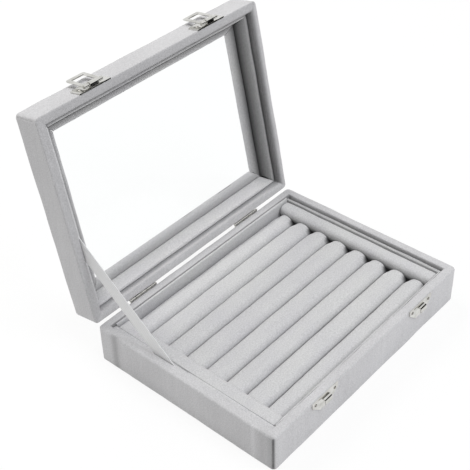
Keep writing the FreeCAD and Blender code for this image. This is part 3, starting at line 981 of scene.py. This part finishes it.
@dataclass(frozen=True)
class PaddedBar:
    """Soft bar of one section along X or Y, with its ends rounded over."""

    section: np.ndarray
    start: float
    end: float
    along_x: bool
    end_round: float = 2.0 * MM
    step: float = 2.5 * MM
    end_steps: int = 5
    mitred: bool = False
    start_round: float | None = None

    def built(self) -> tuple[np.ndarray, list[Face]]:
        """Loft the section from end to end.

        Returns:
            Points and faces of the closed bar.
        """
        centre = 0.5 * (self.section.min(axis=0) + self.section.max(axis=0))
        half = 0.5 * (self.section.max(axis=0) - self.section.min(axis=0))
        stations = self._stations()
        rows = []
        for place, inset in stations:
            shrink = np.maximum(half - inset, 0.02 * half) / half
            rows.append((place, centre + (self.section - centre) * shrink))
        reach = np.abs(self.section[:, 0])
        cut = reach.max() - reach if self.mitred else np.zeros(len(reach))
        middle, run = 0.5 * (self.start + self.end), 0.5 * (self.end - self.start)
        points = np.concatenate(
            [self._placed(place - cut * (place - middle) / run, outline) for place, outline in rows]
        )
        faces = tube_faces(len(rows), len(self.section))
        if self.along_x:
            return points, faces
        return points, [tuple(reversed(face)) for face in faces]

    def _stations(self) -> list[tuple[float, float]]:
        """Places along the bar, each with how far the section is drawn in there."""
        start_round = self.end_round if self.start_round is None else self.start_round
        first = [(self.start + back, inset) for back, inset in self._rounding(start_round)]
        last = [(self.end - back, inset) for back, inset in reversed(self._rounding(self.end_round))]
        low, high = first[-1][0], last[0][0]
        parts = max(1, math.ceil((high - low) / self.step))
        middle = [(low + (high - low) * part / parts, 0.0) for part in range(1, parts)]
        return first + middle + last

    def _rounding(self, radius: float) -> list[tuple[float, float]]:
        """Steps back from an end, each with how far the section is drawn in, from the closed end on."""
        steps = [(0.0, radius * factor) for factor in (4.0, 2.4, 1.5)]
        for step in range(self.end_steps, -1, -1):
            angle = 0.5 * math.pi * step / self.end_steps
            steps.append((radius * (1.0 - math.sin(angle)), radius * (1.0 - math.cos(angle))))
        return steps

    def _placed(self, places: np.ndarray, outline: np.ndarray) -> np.ndarray:
        """Outline of insets and heights as points in space, each at its own place along the bar."""
        if self.along_x:
            return np.column_stack([places, outline])
        return np.column_stack([outline[:, 0], places, outline[:, 1]])


@dataclass
class TrayFilling:
    """Padded floor, linings and bolsters of the tray."""

    finishes: Finishes
    bolster_inner: dict[Side, float] = field(default_factory=lambda: {Side.LEFT: 2.6 * MM, Side.RIGHT: 3.8 * MM})
    bolster_outer: dict[Side, float] = field(default_factory=lambda: {Side.LEFT: 0.8 * MM, Side.RIGHT: 2.4 * MM})
    lining_top: dict[Side, float] = field(default_factory=lambda: {Side.LEFT: 0.25 * MM, Side.RIGHT: 0.8 * MM})

    def build(self) -> None:
        """Make every soft piece but the rolls."""
        self._floor()
        for side in Side:
            self._bolster(side)
            self._side_lining(side)
        for edge in Edge:
            self._end_lining(edge)

    def _bar(
        self,
        name: str,
        node: str,
        corners: Sequence[tuple[float, float]],
        radii: Sequence[float],
        span: tuple[float, float],
        along_x: bool,
        end_round: float,
        seed: int,
        shaded: tuple[float, float, float] | None = None,
    ) -> None:
        """Make one soft bar in the place of a node.

        Args:
            name: Piece name.
            node: CAD node that it stands for.
            corners: Corners of its section.
            radii: Rounding of each corner.
            span: Start and end along its axis.
            along_x: Whether it runs along X.
            end_round: Rounding of its ends.
            seed: Seed of its unevenness.
            shaded: Painted shade towards the bottom, where shade falls between parts: height where it begins, height
                where it is full below, and the share of the colour that is left there.
        """
        section = rounded_outline(corners, radii, 6, 1.6 * MM)
        points, faces = PaddedBar(section, span[0], span[1], along_x, end_round).built()
        # painted shade, darker towards the bottom
        painted_shade = None
        if shaded is not None:
            painted_shade = shaded[2] + (1.0 - shaded[2]) * eased(points[:, 2], shaded[1], shaded[0])
        waves = [Unevenness(seed, 45.0 * MM, 0.10 * MM), Unevenness(seed + 1, 12.0 * MM, 0.04 * MM)]
        Piece(
            name, points, faces, Body.BASE, self.finishes.padding, Slot.PADDED, [node], waves, fill=0.7, painted_shade=painted_shade
        ).place()

    def _floor(self) -> None:
        """Thin pad on the bottom board, under the rolls."""
        low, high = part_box("base_floor_pad")
        trim = 0.3 * MM
        corners = box_outline(low.y + trim, high.y - trim, low.z, high.z - trim)
        self._bar(
            "tray_floor_pad",
            "base_floor_pad",
            corners,
            [0.3 * MM, 0.3 * MM, 0.8 * MM, 0.8 * MM],
            (low.x + trim, high.x - trim),
            True,
            0.6 * MM,
            31,
            # painted shade of the floor pad under the rolls: every point lies below both heights, so it is darkened
            # evenly to 0.25
            (high.z + 2.0 * MM, high.z + 1.0 * MM, 0.25),
        )

    def _bolster(self, side: Side) -> None:
        """Bar that the rolls' ends are pressed against."""
        node = side.word + "_bolster"
        low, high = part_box(node)
        inner, outer = sorted((low.x, high.x), key=abs)
        corners = box_outline(inner, outer, low.z, high.z)
        radii = [0.5 * MM, 0.5 * MM, self.bolster_outer[side], self.bolster_inner[side]]
        if side is Side.LEFT:
            corners.reverse()
            radii.reverse()
        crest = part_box("ring_roll_1")[1].z
        self._bar(
            "soft_bolster_" + side.word,
            node,
            corners,
            radii,
            (low.y, high.y),
            False,
            1.8 * MM,
            41 + 2 * side.value,
            # painted shade below the rolls' crest, for the dark gaps between the roll ends and the bolster
            (crest - 1.8 * MM, crest - 5.0 * MM, 0.1),
        )

    def _side_lining(self, side: Side) -> None:
        """Covered card between a bolster and the wall."""
        node = "base_liner_" + side.word
        low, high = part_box(node)
        round_top = self.lining_top[side]
        corners = box_outline(low.x, high.x, low.z, high.z)
        self._bar(
            "tray_lining_" + side.word,
            node,
            corners,
            [0.2 * MM, 0.2 * MM, round_top, round_top],
            (low.y, high.y),
            False,
            0.3 * MM,
            51 + 2 * side.value,
            # painted shade of the right lining: all of it lies below both heights, so it is darkened evenly to 0.8;
            # the left one is left as it is
            (high.z + 2.0 * MM, high.z + 1.0 * MM, 0.8 if side is Side.RIGHT else 1.0),
        )

    def _end_lining(self, edge: Edge) -> None:
        """Thin covered card along the front or back wall."""
        node = "base_liner_" + edge.word
        low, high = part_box(node)
        outer_top, inner_top = 0.15 * MM, 0.5 * (high.y - low.y)
        tops = [inner_top, outer_top] if edge is Edge.FRONT else [outer_top, inner_top]
        corners = box_outline(low.y, high.y, low.z, high.z)
        self._bar(
            "tray_lining_" + edge.word,
            node,
            corners,
            [0.2 * MM, 0.2 * MM] + tops,
            (low.x, high.x),
            True,
            0.5 * MM,
            61 + 2 * edge.value,
        )


@dataclass
class RingRolls:
    """Row of soft rods that rings are pushed between."""

    finishes: Finishes
    count: int = 8
    around: int = 44
    left_round: float = 1.2 * MM
    right_round: float = 1.8 * MM
    squareness: float = 3.5
    end_squareness: float = 2.2
    end_run: float = 9.0 * MM
    end_drop: float = 3.6 * MM
    # painted shade: darker the deeper a point lies below the crest, in the grooves between rolls and in the gaps at
    # their right ends
    groove: tuple[float, float] = (3.4 * MM, 6.6 * MM)
    groove_painted_shade: float = 0.6
    end_painted_shade: float = 0.9
    left_shift: Sequence[float] = (0.3, 0.0, 0.6, -0.2, -0.35, -0.2, -0.55)
    right_shift: Sequence[float] = (0.55, 0.75, 0.85, 0.2, -0.2, 0.05, 0.0)

    def build(self) -> None:
        """Make each roll in its node's place."""
        for number in range(1, self.count + 1):
            self._roll(number)

    def _shift(self, seam: int, shares: np.ndarray) -> np.ndarray:
        """How far a seam between two rolls wanders from its even place.

        Args:
            seam: Seam number from the back, where 0 and the count are the tray's ends.
            shares: Places along the seam, 0 at the left and 1 at the right.

        Returns:
            Shift along Y at each place.
        """
        if not 0 < seam < self.count:
            return np.zeros(len(shares))
        left, right = self.left_shift[seam - 1], self.right_shift[seam - 1]
        return MM * (left + (right - left) * shares)

    def _roll(self, number: int) -> None:
        """One roll: a soft rod, flattened a little by its neighbours and drawn in at both ends.

        Args:
            number: Place of the roll, from the back.
        """
        node = f"ring_roll_{number}"
        low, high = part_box(node)
        middle = 0.5 * (low + high)
        half_y = 0.5 * (high.y - low.y)
        half_z = 0.5 * (high.z - low.z)
        turns = np.linspace(0.0, 2.0 * math.pi, self.around, endpoint=False)
        free = (np.cos(turns) > 0.0) & (number == 1) | (np.cos(turns) < 0.0) & (number == self.count)
        power = 2.0 / np.where(free, self.end_squareness, self.squareness)
        section = np.column_stack(
            [
                middle.y + half_y * np.sign(np.cos(turns)) * np.abs(np.cos(turns)) ** power,
                middle.z + half_z * np.sign(np.sin(turns)) * np.abs(np.sin(turns)) ** power,
            ]
        )
        bar = PaddedBar(section, low.x, high.x, True, self.right_round, 2.2 * MM, 7, start_round=self.left_round)
        points, faces = bar.built()
        at_end = eased(points[:, 0], high.x - self.end_run, high.x - 0.5 * MM)
        aside = np.abs(points[:, 1] - middle.y) / half_y
        points[:, 2] -= self.end_drop * at_end * aside**2 * (points[:, 2] > middle.z)
        deep = high.z - points[:, 2]
        # painted shade in the grooves between the rolls, and darker still in the deep gaps at their right ends
        painted_shade = 1.0 - self.groove_painted_shade * eased(deep, *self.groove)
        tip = eased(points[:, 0], high.x - 7.0 * MM, high.x - 1.0 * MM)
        painted_shade *= 1.0 - self.end_painted_shade * tip * eased(deep, 0.9 * MM, 3.0 * MM)
        shares = (points[:, 0] - low.x) / (high.x - low.x)
        back, front = self._shift(number - 1, shares), self._shift(number, shares)
        points[:, 1] += front + (back - front) * (points[:, 1] - low.y) / (high.y - low.y)
        waves = [Unevenness(100 + number, 70.0 * MM, 0.12 * MM), Unevenness(200 + number, 13.0 * MM, 0.05 * MM)]
        Piece(
            f"soft_roll_{number}",
            points,
            faces,
            Body.BASE,
            self.finishes.padding,
            Slot.PADDED,
            [node],
            waves,
            fill=0.8,
            painted_shade=painted_shade,
        ).place()


@dataclass
class LidFilling:
    """Padded linings of the lid's walls and the strips that hold its pane."""

    finishes: Finishes
    crest: float = 2.6 * MM
    strip_edge: float = 0.5 * MM
    # painted shade of each lining: shares of the colour at the inner edge, at the crest and by the wall, darkest on
    # the right lining, whose face is turned from the lamps
    lining_painted_shade: dict[str, tuple[float, float, float]] = field(
        default_factory=lambda: {
            "right": (0.08, 0.58, 0.17),
            "left": (0.3, 1.0, 1.0),
            "back": (0.85, 1.0, 0.9),
            "front": (0.6, 0.85, 0.6),
        }
    )
    # painted shade of each pane strip: shares of the colour at the window edge and at the lining
    strip_painted_shade: dict[str, tuple[float, float]] = field(
        default_factory=lambda: {"right": (1.0, 0.1), "left": (1.0, 0.3), "back": (1.0, 0.5), "front": (0.95, 0.45)}
    )

    def build(self) -> None:
        """Make the four linings and the four strips."""
        for seed, word in enumerate(("right", "left", "back", "front")):
            self._lining(word, 71 + 2 * seed)
            self._strip(word, 81 + 2 * seed)

    def _bar(
        self,
        name: str,
        node: str,
        section: np.ndarray,
        word: str,
        end_round: float,
        seed: int,
        places: Sequence[float],
        levels: Sequence[float],
    ) -> None:
        """Make one soft bar of the lid.

        Args:
            name: Piece name.
            node: CAD node that it stands for.
            section: Outline from the wall inwards and up.
            word: Side of the lid that it is on.
            end_round: Rounding of its ends.
            seed: Seed of its unevenness.
            places: Distances from the middle where the painted shade is set.
            levels: Painted shade at those places, as a factor on the colour.
        """
        low, high = LID_TURN.closed_box(node)
        along_x = word in ("back", "front")
        placed = section.copy()
        if word in ("left", "front"):
            placed[:, 0] *= -1.0
            placed = placed[::-1]
        span = (low[0], high[0]) if along_x else (low[1], high[1])
        points, faces = PaddedBar(placed, span[0], span[1], along_x, end_round, mitred=True).built()
        # painted shade, set by distance from the middle
        painted_shade = np.interp(np.abs(points[:, 1 if along_x else 0]), places, levels)
        waves = [Unevenness(seed, 50.0 * MM, 0.09 * MM), Unevenness(seed + 1, 12.0 * MM, 0.035 * MM)]
        Piece(
            name,
            points,
            faces,
            Body.LID,
            self.finishes.padding,
            Slot.PADDED,
            [node],
            waves,
            fill=0.6,
            on_lid=True,
            painted_shade=painted_shade,
        ).place()

    def _extent(self, node: str, along_x: bool) -> tuple[float, float, float, float]:
        """Inner and outer distance from the middle, and lowest and highest place, of a closed node."""
        low, high = LID_TURN.closed_box(node)
        axis = 1 if along_x else 0
        inner, outer = sorted((abs(low[axis]), abs(high[axis])))
        return inner, outer, low[2], high[2]

    def _lining(self, word: str, seed: int) -> None:
        """Padded lining of one wall: a low crest by the wall, then a face that slants to the pane strip."""
        node = "lid_liner_" + word
        along_x = word in ("back", "front")
        inner, outer, low, high = self._extent(node, along_x)
        joint = self._extent("window_strip_" + word, along_x)[2]
        section = rounded_outline(
            [(inner, high), (inner, joint), (outer - self.crest, low), (outer, low), (outer, high)],
            [0.2 * MM, 1.0 * MM, 1.4 * MM, 1.6 * MM, 0.2 * MM],
            7,
            1.6 * MM,
        )
        places = (inner, outer - self.crest, outer)
        self._bar("lid_lining_" + word, node, section, word, 0.8 * MM, seed, places, self.lining_painted_shade[word])

    def _strip(self, word: str, seed: int) -> None:
        """Padded strip round the window: thin at the opening and slanting to the lining with a slight swell."""
        node = "window_strip_" + word
        along_x = word in ("back", "front")
        inner, outer, low, high = self._extent(node, along_x)
        rise = high - low
        section = rounded_outline(
            [
                (inner, high),
                (inner, high - self.strip_edge),
                (inner + 0.42 * (outer - inner), low + 0.42 * rise),
                (outer, low),
                (outer, high),
            ],
            [0.1 * MM, 0.2 * MM, 2.0 * MM, 0.3 * MM, 0.1 * MM],
            4,
            1.4 * MM,
        )
        places = (inner, self._extent("lid_liner_" + word, along_x)[0])
        self._bar("pane_strip_" + word, node, section, word, 0.3 * MM, seed, places, self.strip_painted_shade[word])


@dataclass
class RibbonStay:
    """Ribbed ribbon that stops the lid, drawn straight between the tray's slit and the lid's."""

    finishes: Finishes
    width: float = 11.5 * MM
    thick: float = 0.42 * MM
    columns: int = 15
    step: float = 0.9 * MM
    selvedge: float = 0.1 * MM

    def build(self) -> None:
        """Make the ribbon in the place of its node."""
        places = node_points("lid_stay_ribbon")
        centre = places.mean(axis=0)
        way = np.linalg.svd(places - centre)[2][0]
        way *= np.sign(way[2])
        across = np.cross([1.0, 0.0, 0.0], way)
        reach = (places - centre) @ way
        rows = math.ceil((reach.max() - reach.min()) / self.step)
        lengths = np.linspace(reach.min(), reach.max(), rows)
        shares = np.linspace(-1.0, 1.0, self.columns)
        rim = 1.0 + self.selvedge / self.thick * (np.abs(shares) > 0.85)
        front = self._face(centre, way, across, lengths, shares, 0.5 * self.thick * rim)
        back = self._face(centre, way, across, lengths, shares, -0.5 * self.thick * rim)
        loop = np.concatenate([back, front[:, ::-1]], axis=1)
        points = loop.reshape(-1, 3)
        columns = loop.shape[1]
        faces = tube_faces(rows, columns)
        self._place(points, faces, rows, columns, float(reach.max() - reach.min()))

    def _face(
        self,
        centre: np.ndarray,
        way: np.ndarray,
        across: np.ndarray,
        lengths: np.ndarray,
        shares: np.ndarray,
        offset: np.ndarray,
    ) -> np.ndarray:
        """Points of one face, row by row along the ribbon."""
        flat = centre + lengths[:, None, None] * way + 0.5 * self.width * shares[None, :, None] * across
        return flat + offset[None, :, None] * np.array([1.0, 0.0, 0.0])

    def _place(
        self,
        points: np.ndarray,
        faces: list[Face],
        rows: int,
        columns: int,
        length: float,
    ) -> None:
        """Put the ribbon into the scene, with its woven direction.

        Args:
            points: Mesh points.
            faces: Mesh faces.
            rows: Rows along the ribbon.
            columns: Points round the ribbon in each row.
            length: Length of the ribbon.
        """
        mesh = bpy.data.meshes.new("ribbon_stay")
        mesh.from_pydata(points.tolist(), [], faces)
        mesh.update()
        layer = mesh.uv_layers.new(name="weave")
        for loop in mesh.loops:
            row, column = divmod(loop.vertex_index, columns)
            layer.data[loop.index].uv = (self.width * column / columns, length * row / rows)
        mesh.polygons.foreach_set("use_smooth", [True] * len(mesh.polygons))
        mesh.materials.append(self.finishes.ribbon)
        ribbon = bpy.data.objects.new("ribbon_stay", mesh)
        bpy.context.scene.collection.objects.link(ribbon)
        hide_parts("lid_stay_ribbon")
        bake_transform(ribbon)
        LOG.info("ribbon_stay: %d faces from base to lid", len(mesh.polygons))


@dataclass
class Fittings:
    """Plated hinges, latches and pins, the boards and the pane."""

    finishes: Finishes
    head: float = 1.15 * MM
    dome: float = 0.55 * MM
    groups: dict[str, Body] = field(
        default_factory=lambda: {
            "hinge_base_brads": Body.BASE,
            "catch_brads": Body.BASE,
            "hinge_lid_brads": Body.LID,
            "hasp_brads": Body.LID,
        }
    )

    def build(self) -> None:
        """Dress the rigid nodes and make the domed pins."""
        for name, node in frame["nodes"].items():
            finish = self._finish_of(name)
            if finish is None:
                continue
            for slot in node.material_slots:
                slot.material = finish
            LOG.info("%s: dressed in %s", name, finish.name)
        for group, body in self.groups.items():
            self._pins(group, body)

    def _finish_of(self, name: str) -> bpy.types.Material | None:
        """Finish of a rigid node, or nothing for a soft one."""
        if "board" in name or "rail" in name:
            return self.finishes.board
        if "pane" in name:
            return self.finishes.pane
        if any(word in name for word in ("hinge", "hasp", "catch")):
            return self.finishes.nickel
        return None

    def _pins(self, group: str, body: Body) -> None:
        """Domed pins in the place of one group of brads.

        Args:
            group: CAD node of the brads.
            body: Body that carries them.
        """
        places = node_points(group)
        on_lid = body is Body.LID
        if on_lid:
            places = LID_TURN.closed(places)
        places = places[np.argsort(places[:, 0])]
        breaks = np.where(np.diff(places[:, 0]) > 3.0 * self.head)[0] + 1
        points: list[np.ndarray] = []
        faces: list[Face] = []
        for brad in np.split(places, breaks):
            made, sides = self._pin(brad)
            faces += [tuple(index + sum(map(len, points)) for index in side) for side in sides]
            points.append(made)
        Piece(
            group.replace("brads", "domed_pins"),
            np.concatenate(points),
            faces,
            body,
            self.finishes.pins,
            Slot.NICKEL,
            [group],
            on_lid=on_lid,
        ).place()

    def _pin(self, brad: np.ndarray) -> tuple[np.ndarray, list[Face]]:
        """One pin with a domed head, drawn from the place of its brad.

        Args:
            brad: Points of the brad.

        Returns:
            Points and faces of the pin.
        """
        low, high = brad.min(axis=0), brad.max(axis=0)
        middle = 0.5 * (low + high)
        outward = math.copysign(1.0, middle[1])
        tip, face = (low[1], high[1]) if outward > 0.0 else (high[1], low[1])
        seat = face - outward * 0.5 * MM
        around = 20
        turns = np.linspace(0.0, 2.0 * math.pi, around, endpoint=False)
        shank = 0.45 * MM
        profile = [(0.02 * MM, tip), (shank, tip), (shank, seat), (self.head, seat)]
        for step in range(1, 6):
            angle = 0.5 * math.pi * step / 5.5
            profile.append((self.head * math.cos(angle), seat + outward * self.dome * math.sin(angle)))
        rows = [
            middle * (1.0, 0.0, 1.0)
            + np.column_stack([radius * np.cos(turns), np.full(around, y), radius * np.sin(turns)])
            for radius, y in profile
        ]
        faces = tube_faces(len(rows), around)
        if outward > 0.0:
            faces = [tuple(reversed(side)) for side in faces]
        return np.concatenate(rows), faces


@dataclass
class Studio:
    """Pale floor, soft light and the camera at the photograph's angle."""

    eye: Vector = field(default_factory=lambda: Vector((-0.40047, -0.32169, 0.49175)))
    aim: Vector = field(default_factory=lambda: Vector((0.0002, 0.04105, 0.06107)))
    roll: float = math.radians(-1.902)
    lens: float = 78.107
    floor_half: float = 4.0
    floor_white: float = 0.88

    def build(self) -> None:
        """Set the stage."""
        bpy.context.scene.view_settings.view_transform = "Standard"
        self._camera()
        self._world()
        self._floor()
        self._lamps()
        self._card()

    def _camera(self) -> None:
        """Camera at the eye, turned to the aim and rolled a little."""
        data = bpy.data.cameras.new("camera")
        data.lens = self.lens
        data.sensor_width = 36.0
        data.clip_start = 0.01
        camera = bpy.data.objects.new("camera", data)
        bpy.context.scene.collection.objects.link(camera)
        level = (self.aim - self.eye).to_track_quat("-Z", "Y").to_matrix().to_4x4()
        camera.matrix_world = Matrix.Translation(self.eye) @ level @ Matrix.Rotation(self.roll, 4, "Z")
        bpy.context.scene.camera = camera

    def _seen(self, graph: Graph) -> bpy.types.NodeSocket:
        """Value of 1 on rays from the camera, straight, mirrored or through glass."""
        path = graph.add("LightPath")
        mirrored = graph.larger(path.outputs["Is Camera Ray"], path.outputs["Is Glossy Ray"])
        return graph.larger(mirrored, path.outputs["Is Transmission Ray"])

    def _world(self) -> None:
        """White surroundings that give an even, dim light."""
        world = bpy.data.worlds.new("studio")
        bpy.context.scene.world = world
        world.use_nodes = True
        graph = Graph(world.node_tree)
        fill = graph.add("Background", Color=(1.0, 1.0, 0.985, 1.0), Strength=0.515)
        white = graph.add("Background", Color=(1.0, 1.0, 1.0, 1.0), Strength=1.0)
        seen = self._seen(graph)
        graph.close(graph.blended(seen, fill.outputs["Background"], white.outputs["Background"]), "OutputWorld")

    def _panel(self, name: str, corners: Sequence[Sequence[float]], material: bpy.types.Material) -> bpy.types.Object:
        """Flat stage piece, which isn't part of the box.

        Args:
            name: Object name.
            corners: Its four corners.
            material: Its finish.

        Returns:
            The new object.
        """
        mesh = bpy.data.meshes.new(name)
        mesh.from_pydata(corners, [], [(0, 1, 2, 3)])
        mesh.materials.append(material)
        panel = bpy.data.objects.new(name, mesh)
        bpy.context.scene.collection.objects.link(panel)
        return panel

    def _floor(self) -> None:
        """Pale floor that keeps a light shadow of the box."""
        half = self.floor_half
        material, graph = new_material("pale_floor")
        paper = graph.add("BsdfDiffuse", Color=(0.9, 0.9, 0.9, 1.0))
        white = graph.add("Emission", Strength=1.0)
        share = graph.add("Math", operation="MULTIPLY")
        share.inputs[1].default_value = self.floor_white
        graph.join(self._seen(graph), share.inputs[0])
        graph.close(graph.blended(share.outputs["Value"], paper.outputs["BSDF"], white.outputs["Emission"]))
        corners = [(-half, -half, 0.0), (half, -half, 0.0), (half, half, 0.0), (-half, half, 0.0)]
        self._panel("studio_floor", corners, material)

    def _lamps(self) -> None:
        """Large soft lamps: one high behind the box and one high in front of it."""
        self._lamp("back", Vector((0.0, 1.2, 1.3)), 1.0, 14.6, (1.0, 0.99, 0.965))
        self._lamp("front", Vector((0.1, -1.0, 1.5)), 1.0, 15.9, (0.945, 0.96, 1.0))

    def _card(self) -> None:
        """Dark card in front on the right, which only mirrors: it draws dark lines on the plated metal."""
        along = Vector((0.72, 0.58, 0.0)) * 0.3
        middle = Vector((0.4, -0.49, 0.0))
        top = Vector((0.0, 0.0, 0.5))
        material, graph = new_material("dark_card")
        graph.close(graph.add("BsdfDiffuse", Color=(0.01, 0.01, 0.01, 1.0)).outputs["BSDF"])
        corners = [middle - along, middle + along, middle + along + top, middle - along + top]
        card = self._panel("dark_card", corners, material)
        card.visible_camera = False
        card.visible_diffuse = False
        card.visible_transmission = False
        card.visible_shadow = False

    def _lamp(self, name: str, place: Vector, size: float, power: float, colour: Colour) -> None:
        """Square lamp that faces the box.

        Args:
            name: Lamp name.
            place: Where it stands.
            size: Side in metres.
            power: Watts.
            colour: Light colour.
        """
        data = bpy.data.lights.new(name, "AREA")
        data.shape = "SQUARE"
        data.size = size
        data.energy = power
        data.color = colour
        lamp = bpy.data.objects.new(name, data)
        lamp.location = place
        lamp.rotation_mode = "QUATERNION"
        lamp.rotation_quaternion = (self.aim - place).to_track_quat("-Z", "Y")
        bpy.context.scene.collection.objects.link(lamp)


def main() -> None:
    """Build and dress the box, then set the stage."""
    logging.basicConfig(level=logging.INFO, format="%(message)s")
    finishes = Finishes.make()
    for part in (
        BaseShell(finishes),
        TrayFilling(finishes),
        RingRolls(finishes),
        LidShell(finishes),
        LidFilling(finishes),
        RibbonStay(finishes),
        Fittings(finishes),
        Studio(),
    ):
        part.build()


if __name__ == "__main__":
    main()
